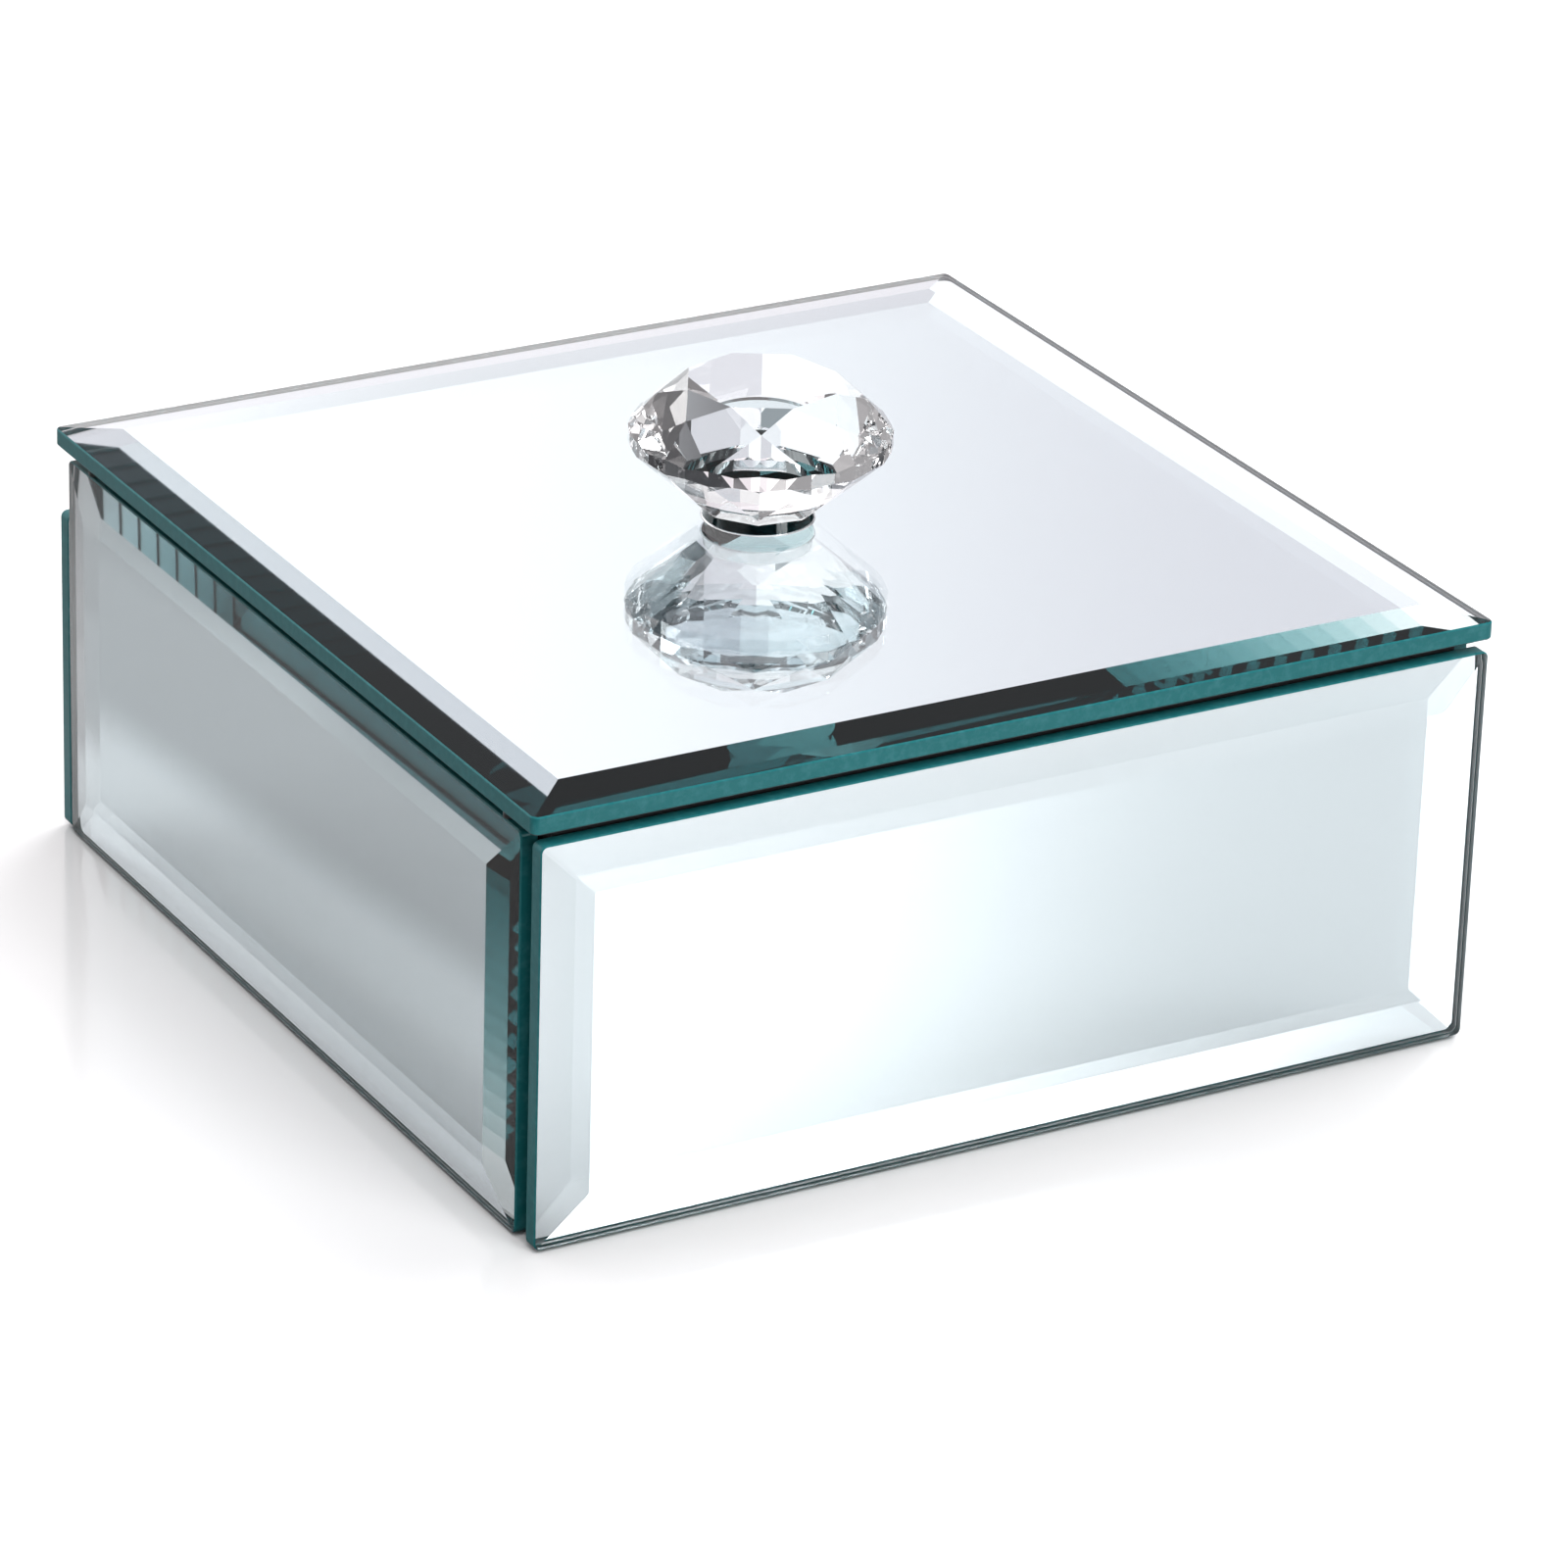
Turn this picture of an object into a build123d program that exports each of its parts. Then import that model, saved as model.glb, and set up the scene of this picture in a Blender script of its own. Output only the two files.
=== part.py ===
from build123d import *
import math
import os

# Square mirrored trinket box with a hinged bevelled lid and a cut crystal knob.
# The frame has X to the right of the front, Y towards the back and Z up, in millimetres.
# Its origin is the centre of the footprint, on the surface that the box stands on.

# Glass panes: mirror glass with a bevel ground on all four sides of the outer face.
glass_thick = 3.0
bevel_width = 6.0
bevel_drop = 0.9
pane_corner = 0.8
lid_corner = 0.9
lid_side = 120.0
front_pane_width = 118.4
side_pane_length = 113.7
side_pane_back = 57.7
pane_height = 47.4
back_pane_height = 40.0
pane_lift = 0.4
tape_thick = 0.7
tape_inset = 3.0
tape_head = 1.0

# Carcass of black fibreboard, butt jointed and glued.
carcass_width = 113.0
carcass_depth = 115.0
wall_thick = 5.0
base_thick = 4.0
felt_thick = 1.0
felt_inset = 1.5
lid_gap = 1.2
lid_board_thick = 3.9
leaf_gap = 1.0

# Padded lining.
liner_thick = 1.6
floor_pad_thick = 3.0
liner_head = 1.0
lid_pad_thick = 2.0
lid_pad_clear = 1.2

# Crystal knob, measured up from the lid.
knob_radius = 15.0
knob_neck_radius = 6.4
knob_neck_height = 1.5
knob_neck_bury = 0.5
knob_pavilion = 7.4
knob_girdle = 1.8
knob_crown = 5.6
knob_table_radius = 9.0
knob_star_radius = 11.9
knob_lower_radius = 8.4
knob_mains = 8
knob_turn = 38.0
glue_thick = 0.1
glue_radius = 6.2

# Butt hinges at the back, each with its box leaf behind the back board.
hinge_length = 18.0
hinge_spacing = 70.0
leaf_thick = 0.7
box_leaf_height = 7.0
lid_leaf_depth = 6.2
barrel_radius = 1.6
barrel_clear = 0.3
pin_radius = 0.6
pin_clear = 0.05
pin_head_radius = 1.0
pin_head_reach = 0.4
pin_head_thick = 0.3
knuckle_count = 5
knuckle_gap = 0.3
screw_head_radius = 1.5
screw_radius = 0.7
screw_length = 3.4
screw_head_depth = 0.55
screw_offset = 5.5
box_screw_drop = 1.0
lid_screw_shift = 0.6
slot_width = 0.4
slot_depth = 0.25

# Clear bumper dots on the top edges of the side panes.
bumper_radius = 1.0
bumper_height = 0.85
bumper_reach = 52.0

# Heights and planes worked out from the sizes above.
pane_top = pane_lift + pane_height
lid_under = pane_top + lid_gap
lid_top = lid_under + glass_thick
lid_board_top = lid_under - tape_thick
lid_board_under = lid_board_top - lid_board_thick
wall_top = lid_board_under - leaf_gap
half_width = carcass_width / 2
half_depth = carcass_depth / 2
inner_width = carcass_width - 2 * wall_thick
inner_depth = carcass_depth - 2 * wall_thick
floor_level = felt_thick + base_thick
pad_level = floor_level + floor_pad_thick
hinge_y = half_depth + barrel_radius + barrel_clear
hinge_z = (wall_top + lid_board_under) / 2
box_screw_place = (half_depth + leaf_thick / 2, hinge_z - box_leaf_height / 2 - box_screw_drop)
lid_screw_place = (
    half_depth - lid_leaf_depth / 2 + lid_screw_shift,
    lid_board_under - leaf_thick / 2,
)
screw_shank_top = leaf_thick / 2 - screw_head_depth
back_axis = (0, 1, 0)
down_axis = (0, 0, -1)


def block(x_range, y_range, z_range):
    """A box between three pairs of limits."""
    spans = [high - low for low, high in (x_range, y_range, z_range)]
    centre = [(low + high) / 2 for low, high in (x_range, y_range, z_range)]
    return Pos(*centre) * Box(*spans)


def bevelled_pane(width, height, corner):
    """A pane lying on the XY plane: flat back at Z 0, bevelled outer face on top."""
    edge = glass_thick - bevel_drop
    body = extrude(RectangleRounded(width, height, corner), edge)
    slope = math.degrees(math.atan2(bevel_width, bevel_drop))
    crown = extrude(Rectangle(width, height), bevel_drop, taper=slope)
    rounded = extrude(RectangleRounded(width, height, corner), glass_thick)
    return body + (Pos(0, 0, edge) * crown & rounded)


def stand_pane(width, height, face, bottom):
    """A pane stood up on the side that face names, with its outer face outwards."""
    pane = bevelled_pane(width, height, pane_corner)
    middle = bottom + height / 2
    front_plane = Plane(origin=(0, 0, 0), x_dir=(1, 0, 0), z_dir=(0, -1, 0))
    back_plane = Plane(origin=(0, 0, 0), x_dir=(-1, 0, 0), z_dir=(0, 1, 0))
    left_plane = Plane(origin=(0, 0, 0), x_dir=(0, -1, 0), z_dir=(-1, 0, 0))
    right_plane = Plane(origin=(0, 0, 0), x_dir=(0, 1, 0), z_dir=(1, 0, 0))
    planes = {"front": front_plane, "back": back_plane, "left": left_plane, "right": right_plane}
    side_middle = side_pane_back - side_pane_length / 2
    places = {
        "front": (0, -half_depth - tape_thick, middle),
        "back": (0, half_depth + tape_thick, middle),
        "left": (-half_width - tape_thick, side_middle, middle),
        "right": (half_width + tape_thick, side_middle, middle),
    }
    return Pos(*places[face]) * (planes[face].location * pane)


def make_panes():
    """The four mirror panes that clad the carcass, and the lid's."""
    lid = Pos(0, 0, lid_under) * bevelled_pane(lid_side, lid_side, lid_corner)
    return {
        "front_pane": stand_pane(front_pane_width, pane_height, "front", pane_lift),
        "back_pane": stand_pane(front_pane_width, back_pane_height, "back", pane_lift),
        "left_pane": stand_pane(side_pane_length, pane_height, "left", pane_lift),
        "right_pane": stand_pane(side_pane_length, pane_height, "right", pane_lift),
        "lid_pane": lid,
    }


def make_tapes():
    """Sheets of double-sided tape between the boards and the panes."""
    low = felt_thick + tape_inset
    high = wall_top - tape_head
    back_high = hinge_z - box_leaf_height - tape_head
    side = half_width - tape_inset
    run = half_depth - tape_inset
    return {
        "front_tape": block((-side, side), (-half_depth - tape_thick, -half_depth), (low, high)),
        "back_tape": block((-side, side), (half_depth, half_depth + tape_thick), (low, back_high)),
        "left_tape": block((-half_width - tape_thick, -half_width), (-run, run), (low, high)),
        "right_tape": block((half_width, half_width + tape_thick), (-run, run), (low, high)),
        "lid_tape": block((-side, side), (-run, run), (lid_board_top, lid_under)),
    }


def make_boards():
    """The carcass boards, and the board that carries the lid's mirror."""
    inner_x = inner_width / 2
    inner_y = inner_depth / 2
    walls = (felt_thick, wall_top)
    across = (-half_width, half_width)
    back_board = block(across, (inner_y, half_depth), walls)
    lid_board = block(across, (-half_depth, half_depth), (lid_board_under, lid_board_top))
    return {
        "front_board": block(across, (-half_depth, -inner_y), walls),
        "back_board": drill_pilots(back_board, box_screw_place, back_axis),
        "left_board": block((-half_width, -inner_x), (-inner_y, inner_y), walls),
        "right_board": block((inner_x, half_width), (-inner_y, inner_y), walls),
        "base_board": block((-inner_x, inner_x), (-inner_y, inner_y), (felt_thick, floor_level)),
        "lid_board": drill_pilots(lid_board, lid_screw_place, down_axis),
    }


def make_lining():
    """The floor pad, the four wall panels, the lid pad and the felt underneath."""
    inner_x = inner_width / 2
    inner_y = inner_depth / 2
    high = wall_top - liner_head
    wall_span = (floor_level, high)
    face_x = inner_x - liner_thick
    face_y = inner_y - liner_thick
    pad_x = face_x - lid_pad_clear
    pad_y = face_y - lid_pad_clear
    felt_x = half_width - felt_inset
    felt_y = half_depth - felt_inset
    pad_span = (lid_board_under - lid_pad_thick, lid_board_under)
    return {
        "floor_pad": block((-face_x, face_x), (-face_y, face_y), (floor_level, pad_level)),
        "front_liner": block((-inner_x, inner_x), (-inner_y, -face_y), wall_span),
        "back_liner": block((-inner_x, inner_x), (face_y, inner_y), wall_span),
        "left_liner": block((-inner_x, -face_x), (-face_y, face_y), wall_span),
        "right_liner": block((face_x, inner_x), (-face_y, face_y), wall_span),
        "lid_pad": block((-pad_x, pad_x), (-pad_y, pad_y), pad_span),
        "base_felt": block((-felt_x, felt_x), (-felt_y, felt_y), (0, felt_thick)),
    }


def polar(radius, degrees, height):
    """A point at a radius and a bearing about the knob's axis."""
    angle = math.radians(degrees)
    return Vector(radius * math.cos(angle), radius * math.sin(angle), height)


def grind(crystal, points, outwards):
    """Grind one facet through three points, keeping the side away from outwards."""
    normal = (points[1] - points[0]).cross(points[2] - points[0]).normalized()
    if normal.dot(outwards) < 0:
        normal = normal * -1
    return split(crystal, bisect_by=Plane(origin=points[0], z_dir=normal), keep=Keep.BOTTOM)


def grind_cone(crystal, girdle, level, inner_radius, inner_level, meet_radius, upwards):
    """Eight main facets and sixteen girdle facets between the girdle and an inner ring."""
    step = 360 / knob_mains
    half_cos = math.cos(math.radians(step / 2))
    pitch = (inner_level - level) / (girdle - inner_radius)
    meet_level = level + pitch * (girdle - meet_radius * half_cos)
    for index in range(knob_mains):
        bearing = knob_turn + index * step
        side = polar(1, bearing, upwards)
        across = polar(1, bearing + 90, 0)
        foot = polar(girdle, bearing, level)
        top = polar(inner_radius, bearing, inner_level)
        crystal = grind(crystal, (foot, top, foot + across), side)
        for turn in (-step / 2, step / 2):
            corner = polar(girdle, bearing + turn, level)
            meet = polar(meet_radius, bearing + turn, meet_level)
            crystal = grind(crystal, (foot, corner, meet), polar(1, bearing + turn / 2, upwards))
    return crystal


def grind_stars(crystal, table, girdle_level):
    """The eight star facets round the table."""
    step = 360 / knob_mains
    half_cos = math.cos(math.radians(step / 2))
    pitch = (table - girdle_level) / (knob_radius - knob_table_radius)
    tip_level = table - pitch * (knob_star_radius * half_cos - knob_table_radius)
    for index in range(knob_mains):
        bearing = knob_turn + index * step
        left = polar(knob_table_radius, bearing, table)
        right = polar(knob_table_radius, bearing + step, table)
        tip = polar(knob_star_radius, bearing + step / 2, tip_level)
        crystal = grind(crystal, (left, right, tip), polar(1, bearing + step / 2, 1))
    return crystal


def make_knob():
    """A crystal knob cut like a brilliant, on a short round neck, and its glue."""
    foot = lid_top + glue_thick
    neck_top = lid_top + knob_neck_height
    girdle_low = neck_top + knob_pavilion
    girdle_high = girdle_low + knob_girdle
    table = girdle_high + knob_crown
    crystal = Pos(0, 0, neck_top) * extrude(Circle(knob_radius), table - neck_top)
    crystal = grind_cone(
        crystal, knob_radius, girdle_high, knob_table_radius, table, knob_star_radius, 1
    )
    crystal = grind_stars(crystal, table, girdle_high)
    crystal = grind_cone(
        crystal, knob_radius, girdle_low, knob_neck_radius, neck_top, knob_lower_radius, -1
    )
    neck = Pos(0, 0, foot) * extrude(Circle(knob_neck_radius), neck_top - foot + knob_neck_bury)
    glue = Pos(0, 0, lid_top) * extrude(Circle(glue_radius), glue_thick)
    return {"crystal_knob": crystal + neck, "knob_glue": glue}


def hinge_knuckles(centre_x, lid_side_ones):
    """Alternate knuckles of one hinge: three on the box leaf, two on the lid leaf."""
    pitch = hinge_length / knuckle_count
    first = 1 if lid_side_ones else 0
    starts = [centre_x - hinge_length / 2 + index * pitch for index in range(first, knuckle_count, 2)]
    bore = pin_radius + (pin_clear if lid_side_ones else 0)
    pieces = []
    for start in starts:
        tube = extrude(Circle(barrel_radius) - Circle(bore), pitch - knuckle_gap)
        turned = Plane(origin=(start + knuckle_gap / 2, hinge_y, hinge_z), z_dir=(1, 0, 0))
        pieces.append(turned.location * tube)
    return pieces


def leaf_relief(centre_x, for_lid_leaf):
    """Clearance cut from a leaf around the knuckles of the other leaf."""
    pitch = hinge_length / knuckle_count
    first = 0 if for_lid_leaf else 1
    relief = barrel_radius + knuckle_gap
    cuts = []
    for index in range(first, knuckle_count, 2):
        start = centre_x - hinge_length / 2 + index * pitch
        span = (start - knuckle_gap / 2, start + pitch + knuckle_gap / 2)
        reach = (hinge_y - relief, hinge_y + relief)
        cuts.append(block(span, reach, (hinge_z - relief, hinge_z + relief)))
    return cuts


def screw_holes(centre_x, place, axis):
    """Two clearance holes through a leaf, as cutters."""
    cutters = []
    for side in (-1, 1):
        plane = Plane(origin=(centre_x + side * screw_offset, *place), z_dir=axis)
        cutters.append(plane.location * Cylinder(screw_radius + pin_clear, 4 * leaf_thick))
        cutters.append(plane.location * countersink(pin_clear))
    return cutters


def countersink(margin):
    """The cone of a screw head with its flat top on the leaf's outer face."""
    height = screw_head_depth + margin
    cone = Cone(screw_radius + margin, screw_head_radius + margin, height)
    return Pos(0, 0, leaf_thick / 2 - height / 2) * cone


def box_leaf(centre_x):
    """The leaf behind the back board, with its three knuckles."""
    half = hinge_length / 2
    leaf = block(
        (centre_x - half, centre_x + half),
        (half_depth, half_depth + leaf_thick),
        (hinge_z - box_leaf_height, hinge_z),
    )
    for cut in leaf_relief(centre_x, False):
        leaf = leaf - cut
    for cutter in screw_holes(centre_x, box_screw_place, back_axis):
        leaf = leaf - cutter
    bore = Plane(origin=(centre_x - half, hinge_y, hinge_z), z_dir=(1, 0, 0))
    leaf = leaf - bore.location * extrude(Circle(pin_radius), hinge_length)
    for knuckle in hinge_knuckles(centre_x, False):
        leaf = leaf + knuckle
    return leaf


def lid_leaf(centre_x):
    """The leaf under the lid board, with its two knuckles."""
    half = hinge_length / 2
    leaf = block(
        (centre_x - half, centre_x + half),
        (half_depth - lid_leaf_depth, hinge_y),
        (lid_board_under - leaf_thick, lid_board_under),
    )
    for cut in leaf_relief(centre_x, True):
        leaf = leaf - cut
    for cutter in screw_holes(centre_x, lid_screw_place, down_axis):
        leaf = leaf - cutter
    bore = Plane(origin=(centre_x - half, hinge_y, hinge_z), z_dir=(1, 0, 0))
    leaf = leaf - bore.location * extrude(Circle(pin_radius + pin_clear), hinge_length)
    for knuckle in hinge_knuckles(centre_x, True):
        leaf = leaf + knuckle
    return leaf


def hinge_pin(centre_x):
    """The pin, with a small head at each end."""
    length = hinge_length + 2 * pin_head_reach
    pin = extrude(Circle(pin_radius), length)
    head = extrude(Circle(pin_head_radius), pin_head_thick)
    pin = pin + head + Pos(0, 0, length - pin_head_thick) * head
    start = centre_x - hinge_length / 2 - pin_head_reach
    return Plane(origin=(start, hinge_y, hinge_z), z_dir=(1, 0, 0)).location * pin


def countersunk_screw():
    """A slotted countersunk screw along -Z, its head level with a leaf's outer face."""
    head = countersink(0.0)
    shank = Pos(0, 0, screw_shank_top - screw_length / 2) * Cylinder(screw_radius, screw_length)
    slot = Pos(0, 0, leaf_thick / 2 - slot_depth / 2) * Box(2 * screw_head_radius, slot_width, slot_depth)
    return head + shank - slot


def screw_locations(place, axis):
    """Where the four screws of one kind of leaf sit."""
    locations = []
    for hinge in (-1, 1):
        for side in (-1, 1):
            x = hinge * hinge_spacing / 2 + side * screw_offset
            locations.append(Plane(origin=(x, *place), z_dir=axis).location)
    return locations


def make_screws():
    """The four screws of the box leaves and the four of the lid leaves."""
    groups = {}
    for name, place, axis in (
        ("box_leaf_screws", box_screw_place, back_axis),
        ("lid_leaf_screws", lid_screw_place, down_axis),
    ):
        screws = [location * countersunk_screw() for location in screw_locations(place, axis)]
        groups[name] = Compound(children=screws)
    return groups


def drill_pilots(board, place, axis):
    """Drill a board for the four screws of one kind of leaf."""
    shank = Pos(0, 0, screw_shank_top - screw_length / 2) * Cylinder(screw_radius, screw_length)
    for location in screw_locations(place, axis):
        board = board - location * shank
    return board


def make_hinges():
    """Both hinges: box leaf, lid leaf and pin."""
    pieces = {}
    for name, side in (("left", -1), ("right", 1)):
        centre_x = side * hinge_spacing / 2
        pieces[name + "_hinge_box_leaf"] = box_leaf(centre_x)
        pieces[name + "_hinge_lid_leaf"] = lid_leaf(centre_x)
        pieces[name + "_hinge_pin"] = hinge_pin(centre_x)
    return pieces


def make_bumpers():
    """Four clear dots, two on the top edge of each side pane."""
    edge_middle = half_width + tape_thick + (glass_thick - bevel_drop) / 2
    dots = []
    for side in (-1, 1):
        for end in (-1, 1):
            base = Pos(side * edge_middle, end * bumper_reach, pane_top)
            dots.append(base * extrude(Circle(bumper_radius), bumper_height))
    return {"bumper_dots": Compound(children=dots)}


def main():
    """Write every sub-part as a STEP file."""
    os.makedirs("parts", exist_ok=True)
    nodes = {}
    makers = (make_panes, make_tapes, make_boards, make_lining, make_knob)
    makers += (make_hinges, make_screws, make_bumpers)
    for maker in makers:
        nodes.update(maker())
    for name, shape in nodes.items():
        export_step(shape, f"parts/{name}.step")
        print(name)


if __name__ == "__main__":
    main()
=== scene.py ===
import math

import bmesh
import bpy
from mathutils import Matrix, Vector


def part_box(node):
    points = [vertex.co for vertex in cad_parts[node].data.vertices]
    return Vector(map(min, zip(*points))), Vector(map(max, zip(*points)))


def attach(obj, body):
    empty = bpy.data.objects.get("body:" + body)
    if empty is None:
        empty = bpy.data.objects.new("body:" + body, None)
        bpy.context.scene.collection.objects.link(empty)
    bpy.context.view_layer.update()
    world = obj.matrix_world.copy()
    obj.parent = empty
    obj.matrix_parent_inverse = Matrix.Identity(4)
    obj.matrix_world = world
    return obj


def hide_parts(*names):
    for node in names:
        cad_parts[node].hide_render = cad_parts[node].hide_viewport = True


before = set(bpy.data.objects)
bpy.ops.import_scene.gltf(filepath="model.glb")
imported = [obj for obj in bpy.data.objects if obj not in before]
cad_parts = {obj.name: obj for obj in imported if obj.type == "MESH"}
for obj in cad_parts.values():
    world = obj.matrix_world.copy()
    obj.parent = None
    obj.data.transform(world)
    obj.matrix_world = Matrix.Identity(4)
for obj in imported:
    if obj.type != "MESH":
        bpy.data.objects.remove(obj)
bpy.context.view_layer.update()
scene = bpy.context.scene
mm = 0.001
print("frame loaded")


# Small helpers for meshes

def addObject(name, bm, materials):
    mesh = bpy.data.meshes.new(name)
    bm.normal_update()
    bm.to_mesh(mesh)
    bm.free()
    piece = bpy.data.objects.new(name, mesh)
    scene.collection.objects.link(piece)
    for material in materials:
        mesh.materials.append(material)
    return piece


def smoothBelow(piece, degrees):
    # round stretches shade smoothly, and every edge sharper than this stays crisp
    for face in piece.data.polygons:
        face.use_smooth = True
    piece.data.set_sharp_from_angle(angle=math.radians(degrees))


def finishPiece(piece, body, slotName, *nodes):
    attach(piece, body)
    if nodes:
        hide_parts(*nodes)
    return piece


def roundedOutline(halfWide, halfHigh, radius, steps):
    # counter-clockwise from the upper right corner, each corner a quarter circle
    points = []
    for corner, (signX, signY) in enumerate(((1, 1), (-1, 1), (-1, -1), (1, -1))):
        centreX = signX * (halfWide - radius)
        centreY = signY * (halfHigh - radius)
        for step in range(steps + 1):
            angle = math.radians(90 * (corner + step / steps))
            points.append((centreX + radius * math.cos(angle), centreY + radius * math.sin(angle)))
    return points


# Node helpers

def newMaterial(name):
    material = bpy.data.materials.new(name)
    material.use_nodes = True
    tree = material.node_tree
    shader = tree.nodes["Principled BSDF"]
    return material, tree, shader


def addNode(tree, kind, **values):
    node = tree.nodes.new(kind)
    for name, value in values.items():
        if hasattr(node, name):
            setattr(node, name, value)
        else:
            node.inputs[name].default_value = value
    return node


def newGroup(name, inputs, outputs):
    # inputs and outputs are (name, socket kind, default) rows
    group = bpy.data.node_groups.new(name, "ShaderNodeTree")
    for socketName, kind, value in inputs:
        socket = group.interface.new_socket(socketName, in_out="INPUT", socket_type=kind)
        socket.default_value = value
    for socketName, kind in outputs:
        group.interface.new_socket(socketName, in_out="OUTPUT", socket_type=kind)
    return group, group.nodes.new("NodeGroupInput"), group.nodes.new("NodeGroupOutput")


def placeGroup(tree, group, **values):
    node = tree.nodes.new("ShaderNodeGroup")
    node.node_tree = group
    for name, value in values.items():
        node.inputs[name].default_value = value
    return node


def mixTones(tree, mask, tones, target):
    tone = addNode(tree, "ShaderNodeMix", data_type="RGBA")
    tone.inputs["A"].default_value, tone.inputs["B"].default_value = tones
    tree.links.new(mask, tone.inputs["Factor"])
    tree.links.new(tone.outputs["Result"], target)


def spreadValue(tree, mask, limits, target):
    spread = addNode(tree, "ShaderNodeMapRange")
    spread.inputs["To Min"].default_value, spread.inputs["To Max"].default_value = limits
    tree.links.new(mask, spread.inputs["Value"])
    tree.links.new(spread.outputs["Result"], target)


def raiseBump(tree, height, depth, strength=1.0):
    bump = addNode(tree, "ShaderNodeBump", Strength=strength, Distance=depth)
    tree.links.new(height, bump.inputs["Height"])
    tree.links.new(bump.outputs["Normal"], tree.nodes["Principled BSDF"].inputs["Normal"])


# Camera

cameraView = {
    "place": (-0.39098, -0.68308, 0.37793),
    "heading": 30.07,      # degrees from +Y towards +X
    "down": 24.54,
    "roll": 1.85,
    "focal": 172.6,
}


def makeCamera():
    data = bpy.data.cameras.new("camera")
    data.lens = cameraView["focal"]
    data.sensor_width = 36
    data.clip_start = 0.01
    camera = bpy.data.objects.new("camera", data)
    heading = Matrix.Rotation(-math.radians(cameraView["heading"]), 4, "Z")
    tilt = Matrix.Rotation(math.radians(90 - cameraView["down"]), 4, "X")
    roll = Matrix.Rotation(math.radians(cameraView["roll"]), 4, "Z")
    camera.matrix_world = Matrix.Translation(cameraView["place"]) @ heading @ tilt @ roll
    scene.collection.objects.link(camera)
    scene.camera = camera


makeCamera()
print("camera placed")


# Glass, silver and crystal

glassLook = {
    "ior": 1.52,
    "absorbTint": (0.18, 0.53, 0.55, 1),      # what the thickness of the glass lets through
    "absorbPerMetre": 36.0,
    # the ground edges' tone is partly the glass's own green and partly painted shade: dark teal standing in
    # for the light carried inside the glass and the shade under the lid
    "groundGreenAndShadeTone": ((0.012, 0.155, 0.168, 1), (0.038, 0.21, 0.225, 1)),
    "groundRoughness": (0.30, 0.45),
    "groundTransmission": 0.12,
    "groundShine": 0.2,
    "scratchMarks": {"Scale": 900.0, "Strength": 1.0},
    "scratchDepth": 0.01 * mm,
    "smearRange": (0.45, 0.75),               # the part of the noise that shows as a smear
    "silverTone": ((0.885, 0.912, 0.944, 1), (0.865, 0.892, 0.924, 1)),
    "silverMarks": {"Scale": 40.0, "Strength": 0.03},
    "paintTone": ((0.075, 0.08, 0.085, 1), (0.11, 0.115, 0.12, 1)),
    "paintMarks": {"Scale": 300.0, "Strength": 1.0},
    "paintRoughness": 0.55,
    "crystalIor": 1.54,
    "crystalMarks": {"Scale": 500.0, "Strength": 0.01},
}


def makeSmudgeGroup():
    # wipe marks: a slow noise, of which only the peaks show
    group, start, end = newGroup(
        "wipeMarks",
        [("Scale", "NodeSocketFloat", 60.0), ("Strength", "NodeSocketFloat", 0.01)],
        [("Value", "NodeSocketFloat")],
    )
    place = addNode(group, "ShaderNodeTexCoord")
    smear = addNode(group, "ShaderNodeTexNoise", Detail=4.0, Roughness=0.6)
    shaped = addNode(group, "ShaderNodeMapRange")
    shaped.inputs["From Min"].default_value, shaped.inputs["From Max"].default_value = glassLook["smearRange"]
    scaled = addNode(group, "ShaderNodeMath", operation="MULTIPLY")
    group.links.new(place.outputs["Object"], smear.inputs["Vector"])
    group.links.new(start.outputs["Scale"], smear.inputs["Scale"])
    group.links.new(smear.outputs["Fac"], shaped.inputs["Value"])
    group.links.new(shaped.outputs["Result"], scaled.inputs[0])
    group.links.new(start.outputs["Strength"], scaled.inputs[1])
    group.links.new(scaled.outputs[0], end.inputs["Value"])
    return group


wipeMarks = makeSmudgeGroup()


def makeClear(name, ior, tint=(1, 1, 1, 1)):
    material, tree, shader = newMaterial(name)
    shader.inputs["Base Color"].default_value = tint
    shader.inputs["IOR"].default_value = ior
    shader.inputs["Transmission Weight"].default_value = 1.0
    shader.inputs["Roughness"].default_value = 0.0
    return material, tree, shader


def addGreenBody(tree):
    # the green that ordinary float glass shows through its thickness
    volume = addNode(tree, "ShaderNodeVolumeAbsorption")
    volume.inputs["Color"].default_value = glassLook["absorbTint"]
    volume.inputs["Density"].default_value = glassLook["absorbPerMetre"]
    tree.links.new(volume.outputs[0], tree.nodes["Material Output"].inputs["Volume"])


def makePaneGlass():
    material, tree, shader = makeClear("paneGlass", glassLook["ior"])
    addGreenBody(tree)
    return material


def makeGroundEdge():
    # the stone leaves the edges satin: part of the light scatters at the surface
    material, tree, shader = newMaterial("groundEdge")
    marks = placeGroup(tree, wipeMarks, **glassLook["scratchMarks"]).outputs["Value"]
    # painted shade on the edges: a dark teal base tone laid over the glass's own green
    mixTones(tree, marks, glassLook["groundGreenAndShadeTone"], shader.inputs["Base Color"])
    spreadValue(tree, marks, glassLook["groundRoughness"], shader.inputs["Roughness"])
    shader.inputs["IOR"].default_value = glassLook["ior"]
    shader.inputs["Transmission Weight"].default_value = glassLook["groundTransmission"]
    shader.inputs["Specular IOR Level"].default_value = glassLook["groundShine"]
    raiseBump(tree, marks, glassLook["scratchDepth"])
    addGreenBody(tree)
    return material


def makeContact():
    # clear adhesive joins the knob to the lid so well that light passes between them unbent
    material, tree, shader = makeClear("gluedContact", 1.0)
    addGreenBody(tree)
    return material


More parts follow.
